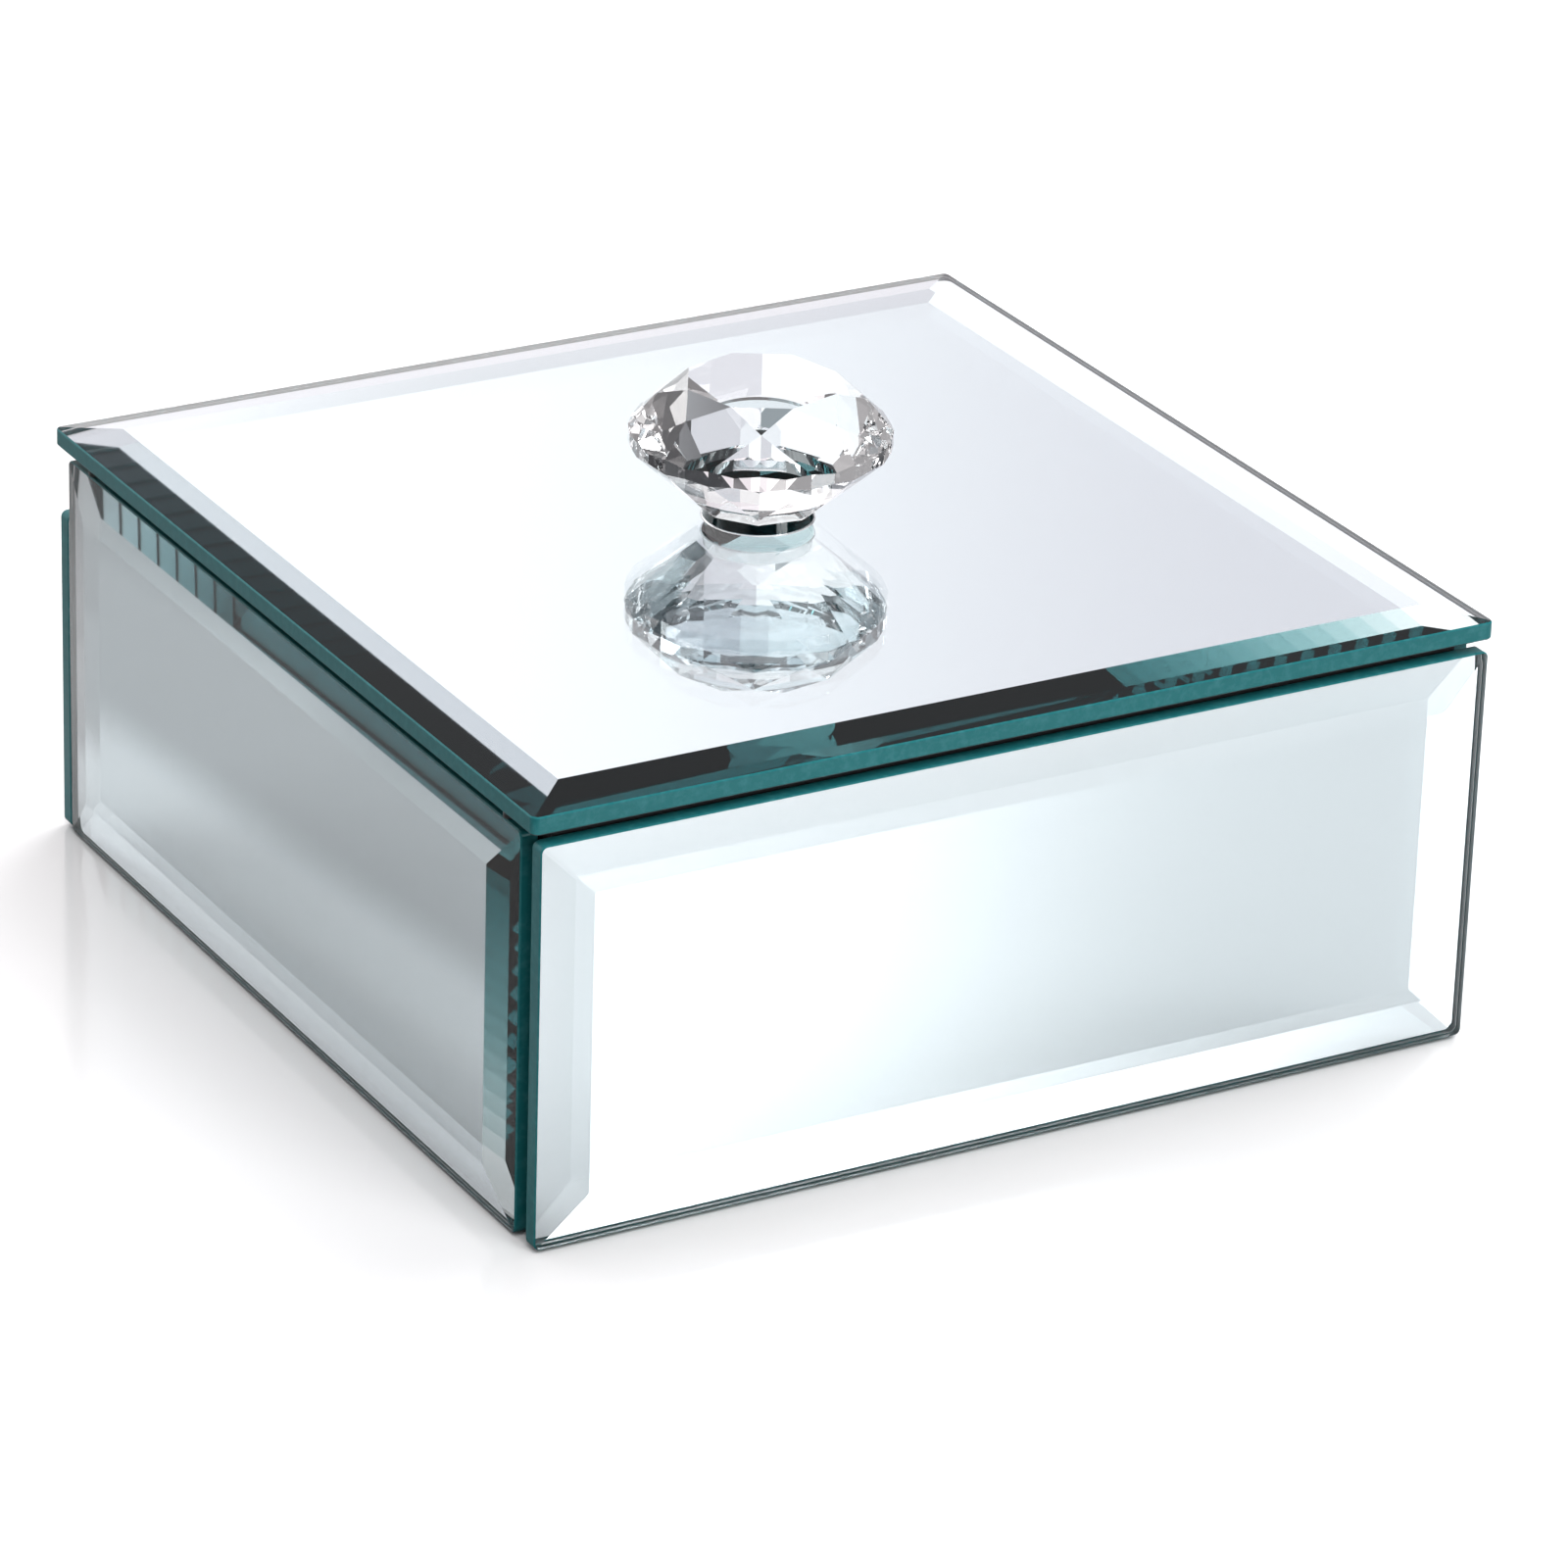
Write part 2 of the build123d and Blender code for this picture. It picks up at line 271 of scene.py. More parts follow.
def makeSilver():
    material, tree, shader = newMaterial("silverFilm")
    shader.inputs["Metallic"].default_value = 1.0
    shader.inputs["Roughness"].default_value = 0.0
    marks = placeGroup(tree, wipeMarks, **glassLook["silverMarks"]).outputs["Value"]
    mixTones(tree, marks, glassLook["silverTone"], shader.inputs["Base Color"])
    return material


def makeBackPaint():
    material, tree, shader = newMaterial("backingPaint")
    shader.inputs["Roughness"].default_value = glassLook["paintRoughness"]
    marks = placeGroup(tree, wipeMarks, **glassLook["paintMarks"]).outputs["Value"]
    mixTones(tree, marks, glassLook["paintTone"], shader.inputs["Base Color"])
    return material


def makeCrystal():
    material, tree, shader = makeClear("crystal", glassLook["crystalIor"])
    marks = placeGroup(tree, wipeMarks, **glassLook["crystalMarks"])
    tree.links.new(marks.outputs["Value"], shader.inputs["Roughness"])
    return material


paneGlass = makePaneGlass()
groundEdge = makeGroundEdge()
gluedContact = makeContact()
silverFilm = makeSilver()
backingPaint = makeBackPaint()
crystal = makeCrystal()
print("glass materials made")


# Finishes of the boards, tapes, lining and metal: grain scales are per metre

finishLook = {
    "blackBoard": {
        "tones": ((0.010, 0.010, 0.011, 1), (0.022, 0.022, 0.024, 1)),
        "fine": 1800, "broad": 40, "roughness": (0.55, 0.75), "depth": 0.05 * mm,
    },
    "foamTape": {
        "tones": ((0.016, 0.016, 0.017, 1), (0.035, 0.035, 0.037, 1)),
        "fine": 3500, "broad": 90, "roughness": (0.85, 0.98), "depth": 0.1 * mm,
    },
    "velvet": {
        "tones": ((0.010, 0.010, 0.014, 1), (0.030, 0.030, 0.038, 1)),
        "fine": 5200, "broad": 55, "roughness": (0.85, 1.0), "depth": 0.12 * mm, "sheen": 0.55,
    },
    "felt": {
        "tones": ((0.014, 0.014, 0.016, 1), (0.040, 0.040, 0.044, 1)),
        "fine": 2600, "broad": 90, "roughness": (0.85, 1.0), "depth": 0.15 * mm, "sheen": 0.2,
    },
    "nickel": {
        "tones": ((0.66, 0.64, 0.61, 1), (0.80, 0.79, 0.76, 1)),
        "fine": 1200, "broad": 120, "roughness": (0.16, 0.26), "depth": 0.002 * mm,
        "stretch": (0.1, 1, 1),      # brushed along the hinge
    },
    "clear": {
        "tint": (0.98, 0.99, 1, 1),
        "fine": 1500, "broad": 200, "ior": 1.47, "depth": 0.01 * mm,
    },
    "bumpStrength": 0.6,
    "sheenRoughness": 0.35,
    "sheenTint": (0.75, 0.77, 0.85, 1),
    "fabricShine": 0.2,
}


def makeGrainGroup():
    # two sizes of noise give a tone that wanders slowly and a fine grain for the bump
    group, start, end = newGroup(
        "surfaceGrain",
        [
            ("Fine", "NodeSocketFloat", 2000.0),
            ("Broad", "NodeSocketFloat", 60.0),
            ("Stretch", "NodeSocketVector", (1, 1, 1)),
        ],
        [("Tone", "NodeSocketFloat"), ("Height", "NodeSocketFloat")],
    )
    place = addNode(group, "ShaderNodeTexCoord")
    stretched = addNode(group, "ShaderNodeVectorMath", operation="MULTIPLY")
    fine = addNode(group, "ShaderNodeTexNoise", Detail=3.0, Roughness=0.65)
    broad = addNode(group, "ShaderNodeTexNoise", Detail=4.0, Roughness=0.55)
    half = addNode(group, "ShaderNodeMath", operation="MULTIPLY")
    half.inputs[1].default_value = 0.5
    tone = addNode(group, "ShaderNodeMath", operation="MULTIPLY_ADD")
    tone.inputs[1].default_value = 0.5
    clear = addNode(group, "ShaderNodeMapRange")
    clear.inputs["From Min"].default_value = 0.3
    clear.inputs["From Max"].default_value = 0.7
    group.links.new(place.outputs["Object"], stretched.inputs[0])
    group.links.new(start.outputs["Stretch"], stretched.inputs[1])
    group.links.new(stretched.outputs[0], fine.inputs["Vector"])
    group.links.new(place.outputs["Object"], broad.inputs["Vector"])
    group.links.new(start.outputs["Fine"], fine.inputs["Scale"])
    group.links.new(start.outputs["Broad"], broad.inputs["Scale"])
    group.links.new(fine.outputs["Fac"], tone.inputs[0])
    group.links.new(broad.outputs["Fac"], half.inputs[0])
    group.links.new(half.outputs[0], tone.inputs[2])
    group.links.new(tone.outputs[0], clear.inputs["Value"])
    group.links.new(clear.outputs["Result"], end.inputs["Tone"])
    group.links.new(fine.outputs["Fac"], end.inputs["Height"])
    return group


surfaceGrain = makeGrainGroup()


def makeGrained(name):
    look = finishLook[name]
    material, tree, shader = newMaterial(name)
    stretch = look.get("stretch", (1, 1, 1))
    grain = placeGroup(tree, surfaceGrain, Fine=look["fine"], Broad=look["broad"], Stretch=stretch)
    mixTones(tree, grain.outputs["Tone"], look["tones"], shader.inputs["Base Color"])
    spreadValue(tree, grain.outputs["Tone"], look["roughness"], shader.inputs["Roughness"])
    raiseBump(tree, grain.outputs["Height"], look["depth"], finishLook["bumpStrength"])
    if "sheen" in look:
        shader.inputs["Sheen Weight"].default_value = look["sheen"]
        shader.inputs["Sheen Roughness"].default_value = finishLook["sheenRoughness"]
        shader.inputs["Sheen Tint"].default_value = finishLook["sheenTint"]
        shader.inputs["Specular IOR Level"].default_value = finishLook["fabricShine"]
    return material


def makeClearPlastic(name, roughness):
    look = finishLook["clear"]
    material, tree, shader = makeClear(name, look["ior"], look["tint"])
    shader.inputs["Roughness"].default_value = roughness
    grain = placeGroup(tree, surfaceGrain, Fine=look["fine"], Broad=look["broad"])
    raiseBump(tree, grain.outputs["Height"], look["depth"])
    return material


blackBoard = makeGrained("blackBoard")
foamTape = makeGrained("foamTape")
velvet = makeGrained("velvet")
felt = makeGrained("felt")
nickel = makeGrained("nickel")
nickel.node_tree.nodes["Principled BSDF"].inputs["Metallic"].default_value = 1.0
clearAdhesive = makeClearPlastic("clearAdhesive", 0.05)
clearPlastic = makeClearPlastic("clearPlastic", 0.12)

finishRows = (
    (blackBoard, "front_board", "back_board", "left_board", "right_board", "base_board", "lid_board"),
    (foamTape, "front_tape", "back_tape", "left_tape", "right_tape", "lid_tape"),
    (nickel, "left_hinge_box_leaf", "right_hinge_box_leaf", "left_hinge_lid_leaf", "right_hinge_lid_leaf"),
    (nickel, "left_hinge_pin", "right_hinge_pin", "box_leaf_screws", "lid_leaf_screws"),
    (clearPlastic, "bumper_dots"),
)

for material, *nodes in finishRows:
    for node in nodes:
        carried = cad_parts[node]
        if not carried.material_slots:
            carried.data.materials.append(material)
        for place in carried.material_slots:
            place.material = material
print("finishes made")


# Bevelled panes, and the sizes that the knob is ground to

knobCut = {
    "mains": 8,
    "turn": 38.0,
    "girdleRadius": 15.0 * mm,
    "neckRadius": 6.4 * mm,
    "tableRadius": 9.0 * mm,
    "starRadius": 11.9 * mm,
    "lowerRadius": 8.4 * mm,
    "neckHeight": 1.5 * mm,
    "pavilion": 7.4 * mm,
    "girdle": 1.8 * mm,
    "crown": 5.6 * mm,
    "girdleFlats": 32,
    "neckSides": 64,
    "neckTaper": 0.97,
    "beadRadius": 0.2 * mm,     # the fillet of adhesive round the foot
    "beadSteps": 6,
    "beadGap": 0.01 * mm,
    "smoothAngle": 7,
}

paneCut = {
    "bevelWidth": 6.0 * mm,
    "bevelDrop": 0.9 * mm,
    "arris": 0.14 * mm,
    "cornerSteps": 20,
    "filmLift": 0.01 * mm,
    "filmThick": 0.03 * mm,
    "glassLift": 0.06 * mm,
    "filmInset": 0.15 * mm,
    "smoothAngle": 5.5,         # less than the fold between the bevel and the flat
}


paneAxes = {      # across the pane from left to right as seen from outside, and straight out
    "up": ((1, 0, 0), (0, 0, 1)),
    "front": ((1, 0, 0), (0, -1, 0)),
    "back": ((-1, 0, 0), (0, 1, 0)),
    "left": ((0, -1, 0), (-1, 0, 0)),
    "right": ((0, 1, 0), (1, 0, 0)),
}


def paneMatrix(node, facing):
    # local x right and y up as seen from outside, local z outwards, from the back face
    low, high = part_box(node)
    centre = (low + high) / 2
    axisX, axisZ = (Vector(axis) for axis in paneAxes[facing])
    axisY = axisZ.cross(axisX)
    size = high - low
    wide, tall, thick = (abs(size.dot(axis)) for axis in (axisX, axisY, axisZ))
    origin = centre - axisZ * thick / 2
    turn = Matrix((axisX, axisY, axisZ)).transposed().to_4x4()
    return Matrix.Translation(origin) @ turn, wide, tall, thick


def addRing(bm, points, heights):
    return [bm.verts.new((x, y, z)) for (x, y), z in zip(points, heights)]


def joinRings(bm, lower, upper):
    faces = []
    count = len(lower)
    for index in range(count):
        after = (index + 1) % count
        faces.append(bm.faces.new((lower[index], lower[after], upper[after], upper[index])))
    return faces


def cutContact(bm, inner, radius, thick, sides):
    # the flat top gets a round patch where the knob's foot is glued on
    circle = []
    for index in range(sides):
        angle = math.radians(360 * index / sides)
        circle.append(bm.verts.new((radius * math.cos(angle), radius * math.sin(angle), thick)))
    patch = bm.faces.new(circle)
    patch.material_index = 2
    frameEdges = [bm.edges.new((inner[index], inner[(index + 1) % 4])) for index in range(4)]
    bmesh.ops.triangle_fill(bm, use_beauty=True, use_dissolve=False, edges=frameEdges + patch.edges[:])
    for face in bm.faces:
        if face.normal.z < 0 and face.calc_center_median().z > thick * 0.9:
            face.normal_flip()


def paneGlassMesh(name, node, facing, corner):
    place, wide, tall, thick = paneMatrix(node, facing)
    cut = paneCut
    steps = cut["cornerSteps"]
    arris = cut["arris"]
    halfW, halfH = wide / 2, tall / 2
    full = roundedOutline(halfW, halfH, corner, steps)
    inset = roundedOutline(halfW - arris, halfH - arris, corner - arris, steps)
    edge = thick - cut["bevelDrop"]
    slope = cut["bevelDrop"] / cut["bevelWidth"]

    def bevelHeight(x, y):
        return edge + slope * min(halfW - abs(x), halfH - abs(y))

    bm = bmesh.new()
    back = addRing(bm, inset, [cut["glassLift"]] * len(inset))
    low = addRing(bm, full, [cut["glassLift"] + arris] * len(full))
    high = addRing(bm, full, [bevelHeight(x, y) - arris for x, y in full])
    top = addRing(bm, inset, [bevelHeight(x, y) for x, y in inset])
    innerW, innerH = halfW - cut["bevelWidth"], halfH - cut["bevelWidth"]
    corners = ((innerW, innerH), (-innerW, innerH), (-innerW, -innerH), (innerW, -innerH))
    inner = addRing(bm, corners, [thick] * 4)
    edges = joinRings(bm, back, low) + joinRings(bm, low, high) + joinRings(bm, high, top)
    for face in edges:
        face.material_index = 1
    bm.faces.new(list(reversed(back)))
    if facing == "up":
        cutContact(bm, inner, knobCut["neckRadius"], thick, knobCut["neckSides"])
    else:
        bm.faces.new(inner)
    middle = steps // 2
    perCorner = steps + 1
    for corner in range(4):
        after = (corner + 1) % 4
        first = [top[corner * perCorner + step] for step in range(middle, perCorner)]
        second = [top[after * perCorner + step] for step in range(middle + 1)]
        bm.faces.new(first + second + [inner[after], inner[corner]])
    bm.transform(place)
    materials = [paneGlass, groundEdge, gluedContact] if facing == "up" else [paneGlass, groundEdge]
    piece = addObject(name, bm, materials)
    smoothBelow(piece, cut["smoothAngle"])
    return piece


def filmMesh(name, node, facing, corner):
    place, wide, tall, thick = paneMatrix(node, facing)
    inset = paneCut["filmInset"]
    outline = roundedOutline(wide / 2 - inset, tall / 2 - inset, corner - inset, paneCut["cornerSteps"])
    lift = paneCut["filmLift"]
    bm = bmesh.new()
    low = addRing(bm, outline, [lift] * len(outline))
    high = addRing(bm, outline, [lift + paneCut["filmThick"]] * len(outline))
    sides = joinRings(bm, low, high)
    backFace = bm.faces.new(list(reversed(low)))
    bm.faces.new(high)
    for face in sides + [backFace]:
        face.material_index = 1
    bm.transform(place)
    return addObject(name, bm, [silverFilm, backingPaint])


paneRows = (
    ("lid_pane", "lidGlass", "up", "lid", 0.9 * mm),
    ("front_pane", "frontGlass", "front", "box", 0.8 * mm),
    ("back_pane", "backGlass", "back", "box", 0.8 * mm),
    ("left_pane", "leftGlass", "left", "box", 0.8 * mm),
    ("right_pane", "rightGlass", "right", "box", 0.8 * mm),
)

for node, name, facing, body, corner in paneRows:
    finishPiece(paneGlassMesh(name, node, facing, corner), body, "mirror_glass", node)
    finishPiece(filmMesh(name + "Silver", node, facing, corner), body, "mirror_glass")
print("panes cut and silvered")


# Crystal knob

def polar(radius, degrees, height):
    angle = math.radians(degrees)
    return Vector((radius * math.cos(angle), radius * math.sin(angle), height))


def grindFacet(bm, points, outward):
    normal = (points[1] - points[0]).cross(points[2] - points[0]).normalized()
    if normal.dot(outward) < 0:
        normal = -normal
    everything = bm.verts[:] + bm.edges[:] + bm.faces[:]
    cut = bmesh.ops.bisect_plane(
        bm, geom=everything, plane_co=points[0], plane_no=normal, clear_outer=True, dist=1e-7
    )
    rim = [item for item in cut["geom_cut"] if isinstance(item, bmesh.types.BMEdge)]
    if rim:
        bmesh.ops.contextual_create(bm, geom=rim)


def grindCone(bm, level, innerRadius, innerLevel, meetRadius, upward):
    cut = knobCut
    step = 360 / cut["mains"]
    halfCos = math.cos(math.radians(step / 2))
    pitch = (innerLevel - level) / (cut["girdleRadius"] - innerRadius)
    meetLevel = level + pitch * (cut["girdleRadius"] - meetRadius * halfCos)
    for index in range(cut["mains"]):
        bearing = cut["turn"] + index * step
        foot = polar(cut["girdleRadius"], bearing, level)
        inner = polar(innerRadius, bearing, innerLevel)
        grindFacet(bm, (foot, inner, foot + polar(0.01, bearing + 90, 0)), polar(1, bearing, upward))
    for index in range(cut["mains"]):
        bearing = cut["turn"] + index * step
        foot = polar(cut["girdleRadius"], bearing, level)
        for turn in (-step / 2, step / 2):
            corner = polar(cut["girdleRadius"], bearing + turn, level)
            meet = polar(meetRadius, bearing + turn, meetLevel)
            grindFacet(bm, (foot, corner, meet), polar(1, bearing + turn / 2, upward))


def grindStars(bm, table, girdleLevel):
    cut = knobCut
    step = 360 / cut["mains"]
    halfCos = math.cos(math.radians(step / 2))
    pitch = (table - girdleLevel) / (cut["girdleRadius"] - cut["tableRadius"])
    tipLevel = table - pitch * (cut["starRadius"] * halfCos - cut["tableRadius"])
    for index in range(cut["mains"]):
        bearing = cut["turn"] + index * step
        left = polar(cut["tableRadius"], bearing, table)
        right = polar(cut["tableRadius"], bearing + step, table)
        tip = polar(cut["starRadius"], bearing + step / 2, tipLevel)
        grindFacet(bm, (left, right, tip), polar(1, bearing + step / 2, 1))


def makeKnob():
    cut = knobCut
    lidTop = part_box("lid_pane")[1].z
    neckTop = lidTop + cut["neckHeight"]
    girdleLow = neckTop + cut["pavilion"]
    girdleHigh = girdleLow + cut["girdle"]
    table = girdleHigh + cut["crown"]
    bm = bmesh.new()
    blank = bmesh.ops.create_cone(
        bm, cap_ends=True, segments=cut["girdleFlats"], radius1=cut["girdleRadius"],
        radius2=cut["girdleRadius"], depth=table - neckTop,
        matrix=Matrix.Rotation(math.radians(cut["turn"]), 4, "Z"),
    )
    bmesh.ops.translate(bm, verts=blank["verts"], vec=(0, 0, (table + neckTop) / 2))
    grindCone(bm, girdleHigh, cut["tableRadius"], table, cut["starRadius"], 1)
    grindStars(bm, table, girdleHigh)
    grindCone(bm, girdleLow, cut["neckRadius"], neckTop, cut["lowerRadius"], -1)
    # the neck grows out of the flat left under the pavilion
    bm.faces.ensure_lookup_table()
    under = min(bm.faces, key=lambda face: face.calc_center_median().z)
    rim = under.edges[:]
    bmesh.ops.delete(bm, geom=[under], context="FACES_ONLY")
    neck = []
    foot = []
    for index in range(cut["neckSides"]):
        angle = 360 * index / cut["neckSides"]
        neck.append(bm.verts.new(polar(cut["neckRadius"] * cut["neckTaper"], angle, neckTop)))
        foot.append(bm.verts.new(polar(cut["neckRadius"], angle, lidTop)))
    joinRings(bm, foot, neck)
    loop = [bm.edges.get((neck[index], neck[(index + 1) % len(neck)])) for index in range(len(neck))]
    bmesh.ops.triangle_fill(bm, use_beauty=True, use_dissolve=False, edges=rim + loop)
    bmesh.ops.recalc_face_normals(bm, faces=bm.faces[:])
    top = max(bm.faces, key=lambda face: face.calc_center_median().z)
    if top.normal.z < 0:
        bmesh.ops.reverse_faces(bm, faces=bm.faces[:])
    piece = addObject("crystalKnob", bm, [crystal])
    smoothBelow(piece, cut["smoothAngle"])
    for face in piece.data.polygons:
        face.use_smooth = face.center.z < neckTop - cut["beadRadius"] / 2      # only the neck is round
    return piece


def makeGlueBead():
    # a hollow cove of adhesive: its section rises up the neck and runs out along the lid
    cut = knobCut
    bead = cut["beadRadius"]
    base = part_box("lid_pane")[1].z + cut["beadGap"]
    inner = cut["neckRadius"] + cut["beadGap"]
    section = [(inner, base)]
    for step in range(cut["beadSteps"] + 1):
        angle = math.radians(90 * step / cut["beadSteps"])
        section.append((inner + bead * (1 - math.sin(angle)), base + bead * (1 - math.cos(angle))))
    bm = bmesh.new()
    rings = []
    for index in range(cut["neckSides"]):
        angle = 360 * index / cut["neckSides"]
        rings.append([bm.verts.new(polar(radius, angle, height)) for radius, height in section])
    for index in range(len(rings)):
        joinRings(bm, rings[index], rings[(index + 1) % len(rings)])
    bmesh.ops.recalc_face_normals(bm, faces=bm.faces[:])
    piece = addObject("glueBead", bm, [clearAdhesive])
    smoothBelow(piece, 30)
    return piece


finishPiece(makeKnob(), "lid", "crystal", "crystal_knob")
finishPiece(makeGlueBead(), "lid", "clear_adhesive", "knob_glue")
print("knob ground")


# Velvet lining: card panels wrapped in velvet, each crowned and rounded at its rim

lining = {
    "spacing": 2.6 * mm,
    "rimRadius": 1.3 * mm,
    "rimSteps": 4,
    "clearance": 0.05 * mm,
    "liningCrown": 0.25 * mm,
    "padCrown": 0.5 * mm,
    "crownReach": 0.2,            # the share of the width over which the crown rises
    "linerFill": 0.4,
    "padFill": 0.6,
    "linerSmooth": 40,
    "padSmooth": 50,
    "padPressure": 4.0,
    "padFrames": 20,
    "padStretch": 0.9 * mm,       # the furthest that the sewn cover lets a point swell
}


def rimmedStops(length, rim):
    # closer lines near both ends, so that the rim can turn over in a quarter circle
    steps = lining["rimSteps"]
    turns = [rim * (1 - math.cos(math.radians(90 * step / steps))) for step in range(steps)]
    inner = length - 2 * rim
    count = max(2, round(inner / lining["spacing"]))
    middle = [rim + inner * step / count for step in range(count + 1)]
    return turns + middle + [length - turn for turn in reversed(turns)]


def wrappedPanel(name, node, out, crown, material):
    # out is the axis letter and sign of the side that shows, such as "z+"
    low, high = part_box(node)
    axis = "xyz".index(out[0])
    sign = 1 if out[1] == "+" else -1
    flatAxes = [item for item in range(3) if item != axis]
    clear = lining["clearance"]
    size = [high[item] - low[item] - 2 * clear for item in flatAxes]
    thick = high[axis] - low[axis] - 2 * clear
    rim = min(lining["rimRadius"], thick * 0.8)
    stops = [rimmedStops(length, rim) for length in size]
    base = low[axis] + clear if sign > 0 else high[axis] - clear
    reach = lining["crownReach"]

    def rimLift(distance):
        return math.sqrt(max(0, 1 - (1 - min(distance / rim, 1)) ** 2))

    def point(u, v, front):
        nearU = max(0, min(u, size[0] - u))
        nearV = max(0, min(v, size[1] - v))
        if front:
            swell = math.sqrt(min(nearU / size[0], nearV / size[1], reach) / reach)
            lift = thick - rim - crown + rim * rimLift(min(nearU, nearV)) + crown * swell
        else:
            lift = 0
        place = [0, 0, 0]
        place[flatAxes[0]] = low[flatAxes[0]] + clear + u
        place[flatAxes[1]] = low[flatAxes[1]] + clear + v
        place[axis] = base + sign * max(lift, 0)
        return place

    bm = bmesh.new()
    sides = []
    for front in (True, False):
        sides.append([[bm.verts.new(point(u, v, front)) for v in stops[1]] for u in stops[0]])
    rows, columns = len(stops[0]), len(stops[1])
    for grid in sides:
        for near, far in zip(grid, grid[1:]):
            for column in range(columns - 1):
                bm.faces.new((near[column], far[column], far[column + 1], near[column + 1]))
    loop = [(row, 0) for row in range(rows)] + [(rows - 1, column) for column in range(1, columns)]
    loop += [(row, columns - 1) for row in range(rows - 2, -1, -1)]
    loop += [(0, column) for column in range(columns - 2, 0, -1)]
    frontRim, backRim = ([grid[row][column] for row, column in loop] for grid in sides)
    joinRings(bm, frontRim, backRim)
    bmesh.ops.recalc_face_normals(bm, faces=bm.faces[:])
    return addObject(name, bm, [material])


def swellPad(piece, node):
    # cloth pressure fills the cover out, and the cap and the CAD box keep it in its place
    low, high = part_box(node)
    cloth = piece.modifiers.new("cloth", "CLOTH")
    cloth.settings.use_pressure = True
    cloth.settings.uniform_pressure_force = lining["padPressure"]
    cloth.settings.effector_weights.gravity = 0
    for step in range(1, lining["padFrames"] + 1):
        scene.frame_set(step)
    shaped = piece.evaluated_get(bpy.context.evaluated_depsgraph_get())
    swollen = [vertex.co.copy() for vertex in shaped.data.vertices]
    piece.modifiers.remove(cloth)
    scene.frame_set(1)
    for vertex, target in zip(piece.data.vertices, swollen):
        move = target - vertex.co
        if move.length > lining["padStretch"]:
            move *= lining["padStretch"] / move.length
        moved = vertex.co + move
        vertex.co = [min(max(moved[item], low[item]), high[item]) for item in range(3)]


def makeLining():
    panels = (
        ("front_liner", "frontLining", "y+", "box"),
        ("back_liner", "backLining", "y-", "box"),
        ("left_liner", "leftLining", "x+", "box"),
        ("right_liner", "rightLining", "x-", "box"),
    )
    for node, name, out, body in panels:
        panel = wrappedPanel(name, node, out, lining["liningCrown"], velvet)
        smoothBelow(panel, lining["linerSmooth"])
        finishPiece(panel, body, "velvet", node)
    pads = (("floor_pad", "floorPad", "z+", "box"), ("lid_pad", "lidPad", "z-", "lid"))
    for node, name, out, body in pads:
        pad = wrappedPanel(name, node, out, lining["padCrown"], velvet)
        swellPad(pad, node)
        smoothBelow(pad, lining["padSmooth"])
        finishPiece(pad, body, "velvet", node)
    foot = wrappedPanel("baseFelt", "base_felt", "z-", 0.0, felt)
    smoothBelow(foot, lining["linerSmooth"])
    finishPiece(foot, "box", "felt", "base_felt")


makeLining()
print("lining wrapped")


# Studio: pale floor and walls, two dark beams, a dark room behind the camera, and soft lights

studio = {
    "floorSize": 6.0,
    "floorTone": (0.84, 0.84, 0.845, 1),
    # painted shade on the floor as the mirrors show it: the share of the floor's tone that reflections see,
    # from left to right: (x, share)
    "mirroredFloorShade": (
        (-0.115, 0.25), (-0.108, 0.31), (-0.090, 0.31), (-0.080, 0.56), (-0.0755, 0.58),
        (-0.068, 0.49), (-0.0577, 0.22), (-0.040, 0.80), (0.06, 0.69),
    ),
    "mirroredSlant": -0.1,
    "floorGloss": 0.14,
    "wallTone": (1.46, 1.40, 1.41, 1),
    "shadeTone": (0.42, 0.41, 0.42, 1),          # the walls away from the lit one
    "shadeHeading": (55.0, 85.0),
    "panelTone": (0.97, 0.90, 0.945, 1),
    "panelHeading": (25.0, 35.0, 50.0, 70.0),    # starts, full, starts to end, ended
    "beamTone": (0.36, 0.38, 0.40, 1),           # two dark ceiling beams: (headings, heights)
    "beams": (
        ((27.0, 31.0, 60.0, 75.0), (31.0, 35.5, 39.6, 41.4)),
        ((9.0, 14.0, 20.5, 24.0), (25.5, 27.5, 31.6, 33.0)),
    ),
    "roomTone": (0.05, 0.05, 0.055, 1),
    "roomHeading": (120.0, 140.0),
    "roomHeight": (50.0, 60.0),
    "frontBoxTone": (7.5, 7.4, 7.4, 1),
    "frontBoxHeading": (146.0, 151.5, 168.0, 174.0),
    "frontBoxHeight": (4.0, 12.0, 28.0, 33.0),
    "flagTone": (0.04, 0.04, 0.045, 1),          # dark flags stood up between the lights
    "flagHeadings": ((-60.0, -57.0, -48.0, -45.0), (54.0, 57.0, 76.0, 79.0)),
    "flagHeight": (2.0, 6.0, 60.0, 64.0),
    "topBoxTone": (1.02, 1.02, 1.04, 1),
    "topBoxHeight": (64.0, 70.0, 95.0, 99.0),
    "skyPower": 1.0,
    "skyOnFloor": 0.78,
    "lampAim": (0, 0, 0.03),
    "key": {"place": (0.8, 0.3, 1.2), "size": 1.0, "power": 18.0},
    "fill": {"place": (-0.2, -0.9, 1.4), "size": 1.2, "power": 22.0},
}


